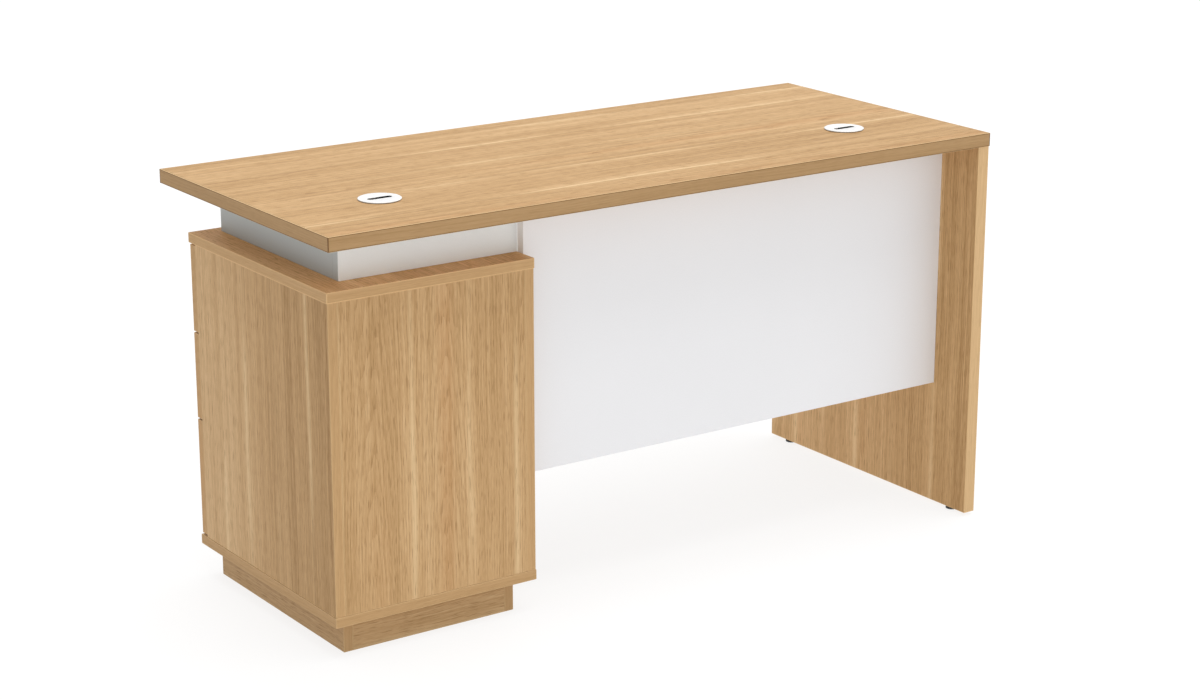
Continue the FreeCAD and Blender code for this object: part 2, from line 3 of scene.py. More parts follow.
import bmesh
import bpy
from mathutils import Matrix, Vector


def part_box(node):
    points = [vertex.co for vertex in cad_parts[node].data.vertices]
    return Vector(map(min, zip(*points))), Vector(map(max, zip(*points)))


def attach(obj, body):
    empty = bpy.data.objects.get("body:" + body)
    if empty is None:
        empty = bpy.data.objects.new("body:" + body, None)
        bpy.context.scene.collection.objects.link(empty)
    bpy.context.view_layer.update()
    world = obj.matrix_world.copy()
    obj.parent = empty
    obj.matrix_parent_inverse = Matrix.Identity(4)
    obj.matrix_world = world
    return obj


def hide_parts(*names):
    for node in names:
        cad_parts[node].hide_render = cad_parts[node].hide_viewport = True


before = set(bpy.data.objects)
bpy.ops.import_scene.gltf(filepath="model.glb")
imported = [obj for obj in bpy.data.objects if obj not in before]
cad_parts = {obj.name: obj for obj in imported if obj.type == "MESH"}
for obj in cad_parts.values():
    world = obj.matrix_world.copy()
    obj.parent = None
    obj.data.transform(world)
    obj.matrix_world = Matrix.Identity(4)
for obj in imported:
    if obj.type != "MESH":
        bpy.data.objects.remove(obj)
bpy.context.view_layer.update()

MM = 0.001
X, Y, Z = range(3)
LEVELS = ("upper", "middle", "lower")
SIDES = ("left", "right")
ENDS = ("visitor", "user")
WHITE = (1.0, 1.0, 1.0, 1.0)
FACE_SHARE = 0.6


def paint(red, green, blue):
    """Screen values from 0 to 255 as a linear colour."""
    levels = [((level / 255 + 0.055) / 1.055) ** 2.4 for level in (red, green, blue)]
    return (*levels, 1.0)


def toned(colour, shade):
    """A painted colour made lighter or darker by a factor."""
    red, green, blue, _ = paint(*colour)
    return (red * shade, green * shade, blue * shade, 1.0)


def thin_axis(low, high):
    return min(range(3), key=lambda axis: high[axis] - low[axis])


class Wire:
    """A node's output socket. Sums and products of wires add the Math nodes that they need."""

    def __init__(self, tree, socket):
        self.tree = tree
        self.socket = socket

    def maths(self, operation, first, second=0.0):
        return self.tree.node("ShaderNodeMath", {"operation": operation}, {0: first, 1: second})

    def __add__(self, other):
        return self.maths("ADD", self, other)

    def __sub__(self, other):
        return self.maths("SUBTRACT", self, other)

    def __rsub__(self, other):
        return self.maths("SUBTRACT", other, self)

    def __mul__(self, other):
        return self.maths("MULTIPLY", self, other)

    def __pow__(self, other):
        return self.maths("POWER", self, other)

    def __gt__(self, other):
        return self.maths("GREATER_THAN", self, other)

    def __abs__(self):
        return self.maths("ABSOLUTE", self)

    __radd__ = __add__
    __rmul__ = __mul__

    def least(self, other):
        return self.maths("MINIMUM", self, other)

    def most(self, other):
        return self.maths("MAXIMUM", self, other)

    def fraction(self):
        return self.maths("FRACT", self)


class Tree:
    """A node tree that is written one call a node."""

    def __init__(self, tree):
        self.tree = tree
        self.tree.nodes.clear()

    def node(self, kind, settings=None, sockets=None, output=0):
        made = self.tree.nodes.new(kind)
        for name, value in (settings or {}).items():
            if name == "stops":
                self.set_stops(made.color_ramp.elements, value)
            else:
                setattr(made, name, value)
        for name, value in (sockets or {}).items():
            for item in value if isinstance(value, list) else [value]:
                if isinstance(item, Wire):
                    self.tree.links.new(item.socket, made.inputs[name])
                else:
                    made.inputs[name].default_value = item
        return Wire(self, made.outputs[output]) if made.outputs else None

    def set_stops(self, elements, stops):
        while len(elements) < len(stops):
            elements.new(1.0)
        for element, (position, colour) in zip(elements, stops):
            element.position = position
            element.color = colour


class Finish(Tree):
    """One procedural material, read from the piece's own coordinates."""

    def __init__(self, name):
        self.material = bpy.data.materials.new(name)
        self.material.use_nodes = True
        super().__init__(self.material.node_tree)

    def parts(self, vector):
        whole = self.node("ShaderNodeSeparateXYZ", None, {0: vector})
        return [Wire(self, socket) for socket in whole.socket.node.outputs]

    def place(self):
        return self.node("ShaderNodeTexCoord", output="Object")

    def faces(self):
        """For each axis, 1 on the faces that are square to it and 0 on the others."""
        normal = self.node("ShaderNodeTexCoord", output="Normal")
        return [abs(part) > FACE_SHARE for part in self.parts(normal)]

    def noise(self, place, repeats, detail=2.0, roughness=0.5):
        """Noise with so many repeats a metre along each axis."""
        scaled = self.node("ShaderNodeVectorMath", {"operation": "MULTIPLY"}, {0: place, 1: repeats})
        sockets = {"Vector": scaled, "Scale": 1.0, "Detail": detail, "Roughness": roughness}
        return self.node("ShaderNodeTexNoise", None, sockets)

    def step(self, value, low, high):
        sockets = {"Value": value, "From Min": low, "From Max": high}
        return self.node("ShaderNodeMapRange", {"interpolation_type": "SMOOTHSTEP"}, sockets)

    def mixed(self, share, first, second):
        """Two colours mixed, through the sockets that the Mix node has for colours."""
        return self.node("ShaderNodeMix", {"data_type": "RGBA"}, {0: share, 6: first, 7: second}, 2)

    def ramp(self, value, stops):
        return self.node("ShaderNodeValToRGB", {"stops": stops}, {0: value})

    def rim(self, place, low, high):
        """How far a point on a box-shaped board is from the board's nearest edge."""
        x, y, z = [
            (part - low[axis]).least(high[axis] - part) for axis, part in enumerate(place)
        ]
        return x.least(y).most(x.most(y).least(z))

    def shaded(self, colour, roughness, height, strength, distance, **fixed):
        bump = {"Strength": strength, "Distance": distance, "Height": height}
        sockets = {"Base Color": colour, "Roughness": roughness}
        sockets["Normal"] = self.node("ShaderNodeBump", None, bump)
        sockets.update({name.replace("_", " "): value for name, value in fixed.items()})
        shader = self.node("ShaderNodeBsdfPrincipled", None, sockets)
        self.node("ShaderNodeOutputMaterial", None, {"Surface": shader})
        return self.material


# Oak-pattern boards

OAK_STOPS = (
    (0.26, (165, 127, 83)),
    (0.42, (184, 147, 101)),
    (0.54, (196, 158, 112)),
    (0.66, (205, 168, 122)),
    (0.80, (217, 182, 137)),
)
PALE_LINE = (232, 203, 158)
HEART = (190, 138, 88)
PORE = (140, 104, 63)
# Pale tone along arrises: partly wear, partly a painted highlight
WEAR_AND_HIGHLIGHT_TONE = (217, 184, 137)
# Dark tone of glue lines, also used for the dark line along the edging's outer arrises
GLUE_AND_ARRIS_LINE = (118, 88, 54)

# Noises of the print: repeats a metre across the grain and along it, detail and roughness
STRAIGHT_NOISES = {
    "drift": (13.0, 0.9, 2.0, 0.5),
    "wave": (7.0, 2.2, 1.0, 0.5),
    "fade": (7.0, 2.1, 1.0, 0.5),
}
WAVY_NOISES = {
    "ribbon": (55.0, 0.8, 2.0, 0.5),
    "streak": (230.0, 1.2, 3.0, 0.65),
    "dash": (430.0, 12.0, 2.0, 0.6),
    "fibre": (900.0, 60.0, 2.0, 0.5),
    "wander": (48.0, 2.6, 2.0, 0.5),
    "pores": (640.0, 30.0, 1.0, 0.5),
}
SHIFT_ALONG = 1.9
WAVE_DEPTH = 0.016

# Strips as laid side by side, and the growth rings in them, in metres and shares
STRIPS_PER_METRE = 9.0
FIGURED_KINDS = (0.60, 0.63)
SEAM_START, SAP_WIDTH = 0.002, 0.26
FADE_RANGE, FADED_LINE = (0.42, 0.62), 0.12
RING_GAP, RING_WANDER = 0.0052, 2.8
ARCH_DEPTH, ARCH_LIFT, ARCH_START = 0.019, 0.014, 0.021
PLAIN_STRIP_AWAY = 0.17
EARLY_WOOD = (0.02, 0.7)
HEART_REACH, HEART_DRIFT = (0.002, 0.026), (0.4, 0.7)
MEAN_EARLY, RING_DASHES, DASH_GAP, PLAIN_RINGS = 0.4, (0.35, 0.65), 0.25, 0.6
PORE_RANGE, PORES_IN_RINGS = (0.62, 0.72), 0.08

# How much each layer changes the tone, the roughness and the height
MIDDLE_TONE = 0.54
NOISE_WEIGHTS = {"streak": 0.58, "dash": 0.40, "fibre": 0.40, "drift": 0.26, "ribbon": 0.40}
STRIP_WEIGHT, SAP_WEIGHT, RING_WEIGHT = 0.10, 0.10, 0.125
HEART_SHARE, PORE_SHARE, BAND_PORE_SHARE = 0.30, 0.50, 0.16
OAK_ROUGHNESS, STREAK_ROUGHNESS, PORE_ROUGHNESS = 0.50, 0.22, 0.1
HEIGHT_WEIGHTS = {"streak": 0.4, "dash": 0.3, "fibre": 0.4}
PORE_DEPTH, RING_DEPTH = 0.7, 0.2
BAND_CONTRAST = 0.5
OAK_BUMP, OAK_GLOSS = (0.22, 0.0003), 0.1

# Widths at a board's rim, in metres
GLUE_WIDTH = (0.0001, 0.0007)
ARRIS_WIDTH = (0.0011, 0.0022)
# Pale ragged rim along arrises, partly wear and partly a painted highlight
WEAR_AND_HIGHLIGHT_WIDTH, WEAR_AND_HIGHLIGHT_RAGGED, WEAR_AND_HIGHLIGHT_SHARE = (0.0004, 0.0022), 0.001, 0.5


class OakPrint(Finish):
    """The layers of a printed oak on one board.

    The grain runs along the given axis on the broad faces, and lengthwise on the bands round them.
    """

    def __init__(self, board, grain, shift):
        super().__init__(board + "_oak")
        self.low, self.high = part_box(board)
        self.size = self.high - self.low
        self.grain = grain
        self.thin = thin_axis(self.low, self.high)
        self.point = self.parts(self.place())
        self.face = self.faces()
        self.band = 1.0 - self.face[self.thin]
        self.lay_grain(shift)
        self.lay_strips()
        self.grow_rings()

    def lay_grain(self, shift):
        """Places along the grain and across it, with the noises that follow them."""
        start = shift * SHIFT_ALONG
        along, across = start, shift
        for axis, face in enumerate(self.face):
            others = [other for other in range(3) if other != axis]
            longer = max(others, key=lambda other: self.size[other])
            lengthwise = self.grain if axis == self.thin else longer
            along = along + self.point[lengthwise] * face
            across = across + self.point[sum(others) - lengthwise] * face
        self.from_middle = along - (start + (self.low[self.grain] + self.high[self.grain]) / 2)
        self.layers = self.noises(across, along, STRAIGHT_NOISES)
        self.lay = across + (self.layers["wave"] - 0.5) * WAVE_DEPTH
        self.layers.update(self.noises(self.lay, along, WAVY_NOISES))

    def noises(self, across, along, kinds):
        spot = self.node("ShaderNodeCombineXYZ", None, {0: across, 1: along})
        made = {}
        for name, (crosswise, lengthwise, detail, roughness) in kinds.items():
            made[name] = self.noise(spot, (crosswise, lengthwise, 1.0), detail, roughness)
        return made

    def lay_strips(self):
        """Strips with a tone of their own, and with sapwood at their seams that fades in and out."""
        sockets = {"W": self.lay, "Scale": STRIPS_PER_METRE}
        strip = self.node("ShaderNodeTexVoronoi", {"voronoi_dimensions": "1D"}, sockets, "Color")
        self.tone, self.lift, kind = self.parts(strip)
        self.figured = self.step(kind, *FIGURED_KINDS)
        self.off_heart = self.lay - Wire(self, strip.socket.node.outputs["W"])
        to_edge = {"voronoi_dimensions": "1D", "feature": "DISTANCE_TO_EDGE"}
        self.seam = self.node("ShaderNodeTexVoronoi", to_edge, sockets, "Distance")
        self.fade = self.step(self.layers["fade"], *FADE_RANGE)
        self.sap = (1.0 - self.step(self.seam, 0.0, SAP_WIDTH)) * self.fade
        near = 1.0 - self.step(abs(self.off_heart), *HEART_REACH)
        self.heart = near * self.figured * self.step(self.layers["drift"], *HEART_DRIFT)

    def grow_rings(self):
        """Growth rings, arched in figured strips and nearly straight in the others, with their pores."""
        half = self.size[self.grain] / 2
        deep = self.from_middle * (ARCH_DEPTH / half) + self.lift * ARCH_LIFT + ARCH_START
        aside = self.off_heart + (1.0 - self.figured) * PLAIN_STRIP_AWAY
        away = (aside * aside + deep * deep) ** 0.5
        rings = away * (1.0 / RING_GAP) + (self.layers["wander"] - 0.5) * RING_WANDER
        self.early = 1.0 - self.step(rings.fraction(), *EARLY_WOOD)
        broken = DASH_GAP + self.step(self.layers["dash"], *RING_DASHES)
        shown = PLAIN_RINGS + (1.0 - PLAIN_RINGS) * self.figured
        self.growth = (self.early - MEAN_EARLY) * broken * shown
        self.pore = self.step(self.layers["pores"] + self.early * PORES_IN_RINGS, *PORE_RANGE)

    def pale_lines(self, width):
        strength = FADED_LINE + (1.0 - FADED_LINE) * self.fade
        return (1.0 - self.step(self.seam, SEAM_START, width)) * strength

    def value(self, contrast, painted_light_slant):
        """The tone from dark to pale, calmer on the bands; on the broad faces a painted light gradient
        makes it lighter towards one side and darker towards the other.
        """
        crosswise = 3 - self.thin - self.grain
        middle = (self.low[crosswise] + self.high[crosswise]) / 2
        # Painted light: a gradient in tone across the broad faces, from one side to the other
        painted_light_slope = (self.point[crosswise] - middle) * (2 * painted_light_slant / self.size[crosswise])
        varied = (self.tone - 0.5) * STRIP_WEIGHT + self.sap * SAP_WEIGHT - self.growth * RING_WEIGHT
        varied = varied + painted_light_slope * self.face[self.thin]
        for name, weight in NOISE_WEIGHTS.items():
            varied = varied + (self.layers[name] - 0.5) * weight
        return MIDDLE_TONE + varied * (contrast - (1.0 - BAND_CONTRAST) * contrast * self.band)

    def oak_ramp(self, value, shade):
        return self.ramp(value, [(position, toned(colour, shade)) for position, colour in OAK_STOPS])

    def rimmed(self, colour, shade, trim):
        """The colour with its rim: a dark glue line where it is glued to edging; on the edging itself a
        painted highlight and a dark line along its outer arrises; on other boards a pale ragged arris,
        partly wear and partly painted highlight.
        """
        rim = self.rim(self.point, self.low, self.high)
        if trim == "inside":
            glue = 1.0 - self.step(rim, *GLUE_WIDTH)
            return self.mixed(glue, colour, toned(GLUE_AND_ARRIS_LINE, shade))
        if trim == "outside":
            # On the edging: a painted highlight on the narrow top face along its outer arrises, and a dark
            # line on the other faces beside it
            arris = self.mixed(self.band, toned(WEAR_AND_HIGHLIGHT_TONE, 1.0), toned(GLUE_AND_ARRIS_LINE, 1.0))
            return self.mixed(1.0 - self.step(rim, *ARRIS_WIDTH), colour, arris)
        # A pale ragged rim along each arris: partly wear, partly a painted highlight
        ragged = rim + (self.layers["fibre"] - 0.5) * WEAR_AND_HIGHLIGHT_RAGGED
        wear_and_highlight = 1.0 - self.step(ragged, *WEAR_AND_HIGHLIGHT_WIDTH)
        return self.mixed(wear_and_highlight * WEAR_AND_HIGHLIGHT_SHARE, colour, toned(WEAR_AND_HIGHLIGHT_TONE, shade))

    def finished(self, colour):
        streak = self.layers["streak"]
        roughness = OAK_ROUGHNESS + (streak - 0.5) * STREAK_ROUGHNESS + self.pore * PORE_ROUGHNESS
        height = self.pore * -PORE_DEPTH - self.early * RING_DEPTH
        for name, weight in HEIGHT_WEIGHTS.items():
            height = height + self.layers[name] * weight
        return self.shaded(colour, roughness, height, *OAK_BUMP, Specular_IOR_Level=OAK_GLOSS)


def oak(
    board, grain, shift, shade, edge_shade=None, edge_pale=0.0,
    contrast=1.0, line_share=0.5, line_width=0.075, painted_light_slant=0.0, trim=None,
):
    """Oak for one board. Its bands can have a shade of their own or be paler than its broad faces."""
    wood = OakPrint(board, grain, shift)
    value = wood.value(contrast, painted_light_slant)
    colour = wood.oak_ramp(value, shade)
    colour = wood.mixed(wood.heart * HEART_SHARE, colour, toned(HEART, shade))
    colour = wood.mixed(wood.pale_lines(line_width) * line_share, colour, toned(PALE_LINE, shade))
    if edge_shade:
        colour = wood.mixed(wood.band, colour, wood.oak_ramp(value, edge_shade))
    if edge_pale:
        colour = wood.mixed(wood.band * edge_pale, colour, toned(PALE_LINE, shade))
    pores = wood.pore * (PORE_SHARE - (PORE_SHARE - BAND_PORE_SHARE) * wood.band)
    colour = wood.mixed(pores, colour, toned(PORE, shade))
    return wood.finished(wood.rimmed(colour, shade, trim))


OAK_BOARDS = {
    "desktop": dict(
        grain=X, shift=5.415, shade=0.985, contrast=1.2, line_share=0.85, line_width=0.045, trim="inside",
    ),
    "desktop_edging": dict(grain=X, shift=3.31, shade=0.78, trim="outside"),
    # end_panel: faces made lighter (1.10) and lighter again towards the user side, painted light
    "end_panel": dict(grain=Z, shift=1.77, shade=1.10, edge_shade=1.03, edge_pale=0.26, painted_light_slant=0.16),
    # pedestal_top: broad faces lighter (1.30) than the edges, painted light against the shade under the
    # desktop; its tone also falls off towards the right, painted light
    "pedestal_top": dict(grain=Y, shift=3.25, shade=1.30, edge_shade=0.98, line_share=0.2, painted_light_slant=-0.14),
    # pedestal_bottom: darker than the other boards, painted shade low under the pedestal
    "pedestal_bottom": dict(grain=X, shift=2.64, shade=0.92),
    # pedestal_left_side: lighter towards the user side and darker by the visitor corner, painted light
    "pedestal_left_side": dict(grain=Z, shift=3.501, shade=0.97, painted_light_slant=0.20),
    "pedestal_right_side": dict(grain=Z, shift=5.88, shade=0.97),
    "pedestal_back": dict(grain=Z, shift=9.519, shade=0.96),
    # Plinth boards: darker than the other boards, painted shade in the recess under the pedestal
    "plinth_left_board": dict(grain=Y, shift=0.74, shade=0.80),
    "plinth_right_board": dict(grain=Y, shift=1.15, shade=0.80),
    "plinth_visitor_board": dict(grain=X, shift=7.21, shade=0.79),
    "plinth_user_board": dict(grain=X, shift=7.74, shade=0.79),
}
for level in LEVELS:
    OAK_BOARDS[f"{level}_drawer_front"] = dict(grain=Z, shift=8.826, shade=0.97)


# White boards, plastics and metals

MOTTLE_REPEATS, MOTTLE_SHARE, MOTTLE_ROUGHNESS = (5.0, 5.0, 5.0), 0.25, 0.1
GRIT_SQUASH, GRIT_SHARE, GRIT_ROUGHNESS = 0.4, 0.6, 0.25
LAMINATE_RANGE, LAMINATE_ROUGHNESS = (0.2, 0.75), 0.46
LAMINATE_BUMP, LAMINATE_GLOSS = (0.12, 0.0002), 0.3
DARK_RIM_WIDTH, DARK_RIM_RAGGED, DARK_RIM_SHARE, DARK_RIM_TONE = (0.0001, 0.0009), 0.0008, 0.35, 0.82
CLOUD_REPEATS, CLOUD_SHARE, GRAIN_SHARE = (60.0, 60.0, 60.0), 0.7, 0.9
GRAINED_RANGE, GRAIN_DEPTH = (0.25, 0.75), 0.0001
FLAKES_PER_METRE, FLAKE_SHARE, FLAKE_ROUGHNESS = 420.0, 0.5, 0.14
SCRATCH_REPEATS, SCRATCH_ROUGHNESS = (900.0, 60.0, 900.0), 0.2
PLATED_RANGE, PLATED_ROUGHNESS, PLATED_BUMP = (0.2, 0.8), 0.30, (0.08, 0.0001)


def two_tone(finish, share, limits, dark, pale):
    return finish.ramp(share, list(zip(limits, (paint(*dark), paint(*pale)))))


def laminate(board, pale, edge, weave, contrast):
    """Plain laminate with taped edges: a faint mottle, a fine pressed texture and a thin darker ragged
    line along each arris.
    """
    low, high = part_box(board)
    finish = Finish(board + "_laminate")
    whole = finish.place()
    mottle = finish.noise(whole, MOTTLE_REPEATS, 3.0)
    grit = finish.noise(whole, (weave, weave, weave * GRIT_SQUASH), 2.0)
    share = (mottle - 0.5) * MOTTLE_SHARE + (grit - 0.5) * GRIT_SHARE + 0.5
    shades = []
    for light in (pale, edge):
        dark = [level - contrast for level in light]
        shades.append(two_tone(finish, share, LAMINATE_RANGE, dark, light))
    taped = 1.0 - finish.faces()[thin_axis(low, high)]
    colour = finish.mixed(taped, *shades)
    ragged = finish.rim(finish.parts(whole), low, high) + (grit - 0.5) * DARK_RIM_RAGGED
    # A thin darker ragged line along each arris
    dark_rim = 1.0 - finish.step(ragged, *DARK_RIM_WIDTH)
    colour = finish.mixed(dark_rim * DARK_RIM_SHARE, colour, paint(*[level * DARK_RIM_TONE for level in pale]))
    roughness = LAMINATE_ROUGHNESS + (grit - 0.5) * GRIT_ROUGHNESS + (mottle - 0.5) * MOTTLE_ROUGHNESS
    return finish.shaded(colour, roughness, grit, *LAMINATE_BUMP, Specular_IOR_Level=LAMINATE_GLOSS)


def grained(name, pale, dark, repeats, roughness, metallic=0.0, strength=0.1, spread=0.2):
    """Plastic or metal with a fine grain, which has its own repeats along each axis."""
    finish = Finish(name)
    whole = finish.place()
    grain = finish.noise(whole, repeats, 3.0, 0.6)
    cloud = finish.noise(whole, CLOUD_REPEATS, 2.0)
    share = (grain - 0.5) * GRAIN_SHARE + (cloud - 0.5) * CLOUD_SHARE + 0.5
    colour = two_tone(finish, share, GRAINED_RANGE, dark, pale)
    varied = roughness + (grain - 0.5) * spread + (cloud - 0.5) * spread
    return finish.shaded(colour, varied, grain, strength, GRAIN_DEPTH, Metallic=metallic)


def plated(name, pale, dark):
    """Zinc plating, with the faint flakes that it sets into."""
    finish = Finish(name)
    whole = finish.place()
    sockets = {"Vector": whole, "Scale": FLAKES_PER_METRE}
    flake = finish.node("ShaderNodeTexVoronoi", None, sockets, "Color")
    tone = finish.parts(flake)[0]
    scratch = finish.noise(whole, SCRATCH_REPEATS, 2.0)
    share = tone * FLAKE_SHARE + scratch * (1.0 - FLAKE_SHARE)
    colour = two_tone(finish, share, PLATED_RANGE, dark, pale)
    roughness = PLATED_ROUGHNESS + tone * FLAKE_ROUGHNESS + (scratch - 0.5) * SCRATCH_ROUGHNESS
    return finish.shaded(colour, roughness, scratch, *PLATED_BUMP, Metallic=1.0)


GRAINED_FINISHES = {
    "white_plastic": ((244, 244, 243), (233, 233, 232), (2600.0, 2600.0, 2600.0), 0.36),
    "dark_plastic": ((52, 52, 53), (34, 34, 35), (2200.0, 2200.0, 2200.0), 0.5),
    "nylon": ((232, 231, 224), (214, 212, 203), (900.0, 900.0, 900.0), 0.42),
    "coated_steel": ((232, 232, 230), (218, 218, 215), (700.0, 700.0, 700.0), 0.4),
    "satin_aluminium": ((226, 226, 228), (198, 198, 201), (60.0, 900.0, 2400.0), 0.34, 1.0, 0.12),
    "lock_chrome": ((226, 226, 228), (206, 206, 209), (1200.0, 90.0, 1200.0), 0.16, 1.0, 0.04, 0.12),
}
WHITE_BOARDS = {
    "modesty_panel": ((240, 240, 242), (252, 252, 252)),
    # riser_visitor_board: face lighter and cooler than the other white boards, painted light against the
    # shade under the desktop; its grey edge is painted shade, like the left board
    "riser_visitor_board": ((245, 252, 255), (190, 199, 202)),
    # riser_left_board: the same white laminate, its face grey as painted shade
    "riser_left_board": ((190, 199, 202), (236, 238, 241)),
    "riser_right_board": ((236, 238, 241), (236, 238, 241)),
}
WHITE_WEAVE, WHITE_CONTRAST = 900.0, 8
DRAWER_BOARDS = ("left_side", "right_side", "back", "bottom")
DRAWER_PALE, DRAWER_EDGE = (222, 222, 219), (228, 228, 226)
DRAWER_WEAVE, DRAWER_CONTRAST = 500.0, 18

finishes = {name: grained(name, *look) for name, look in GRAINED_FINISHES.items()}
finishes["zinc_steel"] = plated("zinc_steel", (212, 214, 216), (172, 175, 178))


def finish_node(name, finish):
    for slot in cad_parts[name].material_slots:
        slot.material = finish


for name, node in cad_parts.items():
    own_slot = node.material_slots[0].material.name.split(".")[0]
    if own_slot in finishes:
        finish_node(name, finishes[own_slot])
for board, pattern in OAK_BOARDS.items():
    finish_node(board, oak(board, **pattern))
for board, (pale, edge) in WHITE_BOARDS.items():
    finish_node(board, laminate(board, pale, edge, WHITE_WEAVE, WHITE_CONTRAST))
for level in LEVELS:
    for part in DRAWER_BOARDS:
        board = f"{level}_drawer_{part}"
        finish_node(board, laminate(board, DRAWER_PALE, DRAWER_EDGE, DRAWER_WEAVE, DRAWER_CONTRAST))


# Smooth fittings that stand for plain solids, in millimetres


def outline(length, width, corner, steps=8):
    """A rounded rectangle round the origin, or a circle where corner is half of both sides."""
    points = []
    for quarter, (side, rise) in enumerate(((1, 1), (-1, 1), (-1, -1), (1, -1))):
        for step in range(steps):
            angle = math.radians(90 * (quarter + (step + 0.5) / steps))
            reach = side * (length / 2 - corner) + corner * math.cos(angle)
            points.append((reach, rise * (width / 2 - corner) + corner * math.sin(angle)))
    return points


def lobed(radius, depth, lobes, steps=16):
    """A circle with shallow hollows round it."""
    points = []
    for step in range(4 * steps):
        angle = math.radians(90 * (step + 0.5) / steps)
        reach = radius - depth * max(0.0, math.cos(lobes * angle)) ** 2
        points.append((reach * math.cos(angle), reach * math.sin(angle)))
    return points


def ring(points, axis, centre, at):
    """Outline points set square to an axis at a height along it; millimetres in, metres out."""
    first, second = [other for other in range(3) if other != axis]
    spots = []
    for aside, above in points:
        spot = list(centre)
        spot[axis] = at
        spot[first] += aside
        spot[second] += above
        spots.append(Vector(spot) * MM)
    return spots


def turned(profile, axis, centre, steps=16):
    """Rings of a turned shape, from its radii and heights."""
    return [
        ring(outline(2 * radius, 2 * radius, radius, steps), axis, centre, at) for radius, at in profile
    ]


def skin(shell, rings, closed):
    """Faces from each ring to the next, and from the last to the first or across both ends."""
    loops = [[shell.verts.new(spot) for spot in spots] for spots in rings]
    pairs = list(zip(loops, loops[1:]))
    if closed:
        pairs.append((loops[-1], loops[0]))
    else:
        shell.faces.new(loops[0])
        shell.faces.new(loops[-1])
    for lower, upper in pairs:
        for spot, corner in enumerate(lower):
            after = (spot + 1) % len(lower)
            shell.faces.new((corner, lower[after], upper[after], upper[spot]))


def added(name, mesh):
    piece = bpy.data.objects.new(name, mesh)
    bpy.context.scene.collection.objects.link(piece)
    return piece


def shaped(name, shells, slot, body, node, sharp=40.0):
    """One piece made of skinned shells, which stands for a CAD node."""
    shell = bmesh.new()
    for rings, closed in shells:
        skin(shell, rings, closed)
    bmesh.ops.recalc_face_normals(shell, faces=shell.faces)
    mesh = bpy.data.meshes.new(name)
    shell.to_mesh(mesh)
    shell.free()
    mesh.shade_smooth()
    mesh.set_sharp_from_angle(angle=math.radians(sharp))
    mesh.materials.append(finishes[slot])
    piece = added(name, mesh)
    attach(piece, body)
    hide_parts(node)


def box_mm(node):
    low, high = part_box(node)
    return low / MM, high / MM, (low + high) / (2 * MM)


# A cap's rim as inset and height over its underside, its slot as widening and the same height,
# and the tip of a leg as slimming and height over its end
CAP_THICKNESS = 1.6
CAP_RIM = (
    (5.0, 1.0), (4.6, 0.1), (0.5, 0.0), (0.12, 0.12), (0.0, 0.45), (0.0, 0.9),
    (0.14, 1.25), (0.5, 1.5), (1.2, CAP_THICKNESS),
)
SLOT_LENGTH, SLOT_WIDTH = 45.0, 11.5
SLOT_RIM = ((1.5, CAP_THICKNESS), (1.1, 1.5), (1.0, 1.3), (1.0, 1.0))
LEG_LENGTH, LEG_WIDTH, LEG_CORNER = 14.0, 1.5, 0.3
LEG_AWAY, LEG_OVERLAP = 26.35, 1.1
LEG_TIP = ((0.0, 1.5), (0.5, 0.2), (0.9, 0.0))


def grommet_cap(side):
    node = f"{side}_grommet_cap"
    low, high, centre = box_mm(node)
    radius = centre.x - low.x
    under = high.z - CAP_THICKNESS
    rings = turned([(radius - inset, under + rise) for inset, rise in CAP_RIM], Z, centre)
    for widen, rise in SLOT_RIM:
        length, width = SLOT_LENGTH + widen, SLOT_WIDTH + widen
        rings.append(ring(outline(length, width, width / 2, 16), Z, centre, under + rise))
    shells = [(rings, True)]
    leg = [(0.0, under + LEG_OVERLAP)] + [(slim, low.z + rise) for slim, rise in LEG_TIP]
    for away in (-LEG_AWAY, LEG_AWAY):
        foot = (centre.x, centre.y + away, 0.0)
        outlines = [outline(LEG_LENGTH - slim, LEG_WIDTH - slim, LEG_CORNER, 4) for slim, _ in leg]
        shells.append(([ring(edge, Z, foot, at) for edge, (_, at) in zip(outlines, leg)], False))
    shaped(f"{side}_grommet_cap_moulding", shells, "white_plastic", node, node)


# A liner's lower end as radius and height over it, and its flange as radius and depth under its top
LINER_END = ((30.0, 0.4), (29.6, 0.0), (28.8, 0.0), (28.4, 0.4))
LINER_FLANGE = ((28.4, 0.6), (29.0, 0.0), (36.0, 0.0), (36.5, 0.2), (36.6, 0.8), (30.0, 0.8))


def grommet_liners():
    low, high, _ = box_mm("grommet_liners")
    profile = [(radius, low.z + rise) for radius, rise in LINER_END]
    profile += [(radius, high.z - deep) for radius, deep in LINER_FLANGE]
    centres = [box_mm(f"{side}_grommet_cap")[2] for side in SIDES]
    shells = [(turned(profile, Z, centre), True) for centre in centres]
    # The liners take dark plastic: painted shade, so that the slots and the line under each cap's rim read
    # dark
    shaped("grommet_liner_mouldings", shells, "dark_plastic", "desk_frame", "grommet_liners")


HANDLE_FOOT, HANDLE_THICKNESS, HANDLE_CORNER = 12.0, 8.0, 2.6
HANDLE_STATIONS = 48


def bow(half, rise, share):
    """A point of the arc over a chord, from -1 to 1 along it."""
    radius = (half * half + rise * rise) / (2 * rise)
    angle = math.asin(half / radius) * share
    return Vector((radius * math.sin(angle), radius * math.cos(angle) + rise - radius, 0.0))


